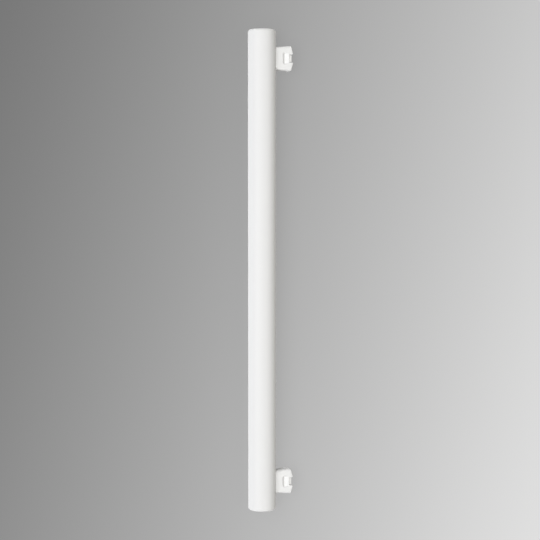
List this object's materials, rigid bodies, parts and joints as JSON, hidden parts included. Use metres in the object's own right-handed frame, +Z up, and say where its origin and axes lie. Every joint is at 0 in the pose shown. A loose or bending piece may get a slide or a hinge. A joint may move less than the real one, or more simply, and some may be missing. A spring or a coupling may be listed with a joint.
{
  "type": "tubular light bulb",
  "caption": "Straight opal white tube lamp with moulded side pegs that push into lampholders, each with a metal contact in a notch across its tip.",
  "frame": {"origin": "on the surface that the lamp lies on, below the middle of its outline", "axes": "+Y along the tube, towards the end that is uppermost in the picture; +X across the tube, towards the pegs; +Z up"},
  "size_m": [0.0465, 0.5, 0.029],
  "materials": {
    "opal_glass": "opal white, satin, can't be seen through",
    "white_moulding": "white moulding, gloss",
    "plated_contact": "nickel plated strip, satin",
    "lead_wire": "bare wire"
  },
  "bodies": {
    "root": {"opal_tube": "opal_glass", "upper_peg": "white_moulding", "lower_peg": "white_moulding", "upper_contact": "plated_contact", "lower_contact": "plated_contact", "upper_lead": "lead_wire", "lower_lead": "lead_wire"}
  },
  "joints": []
}
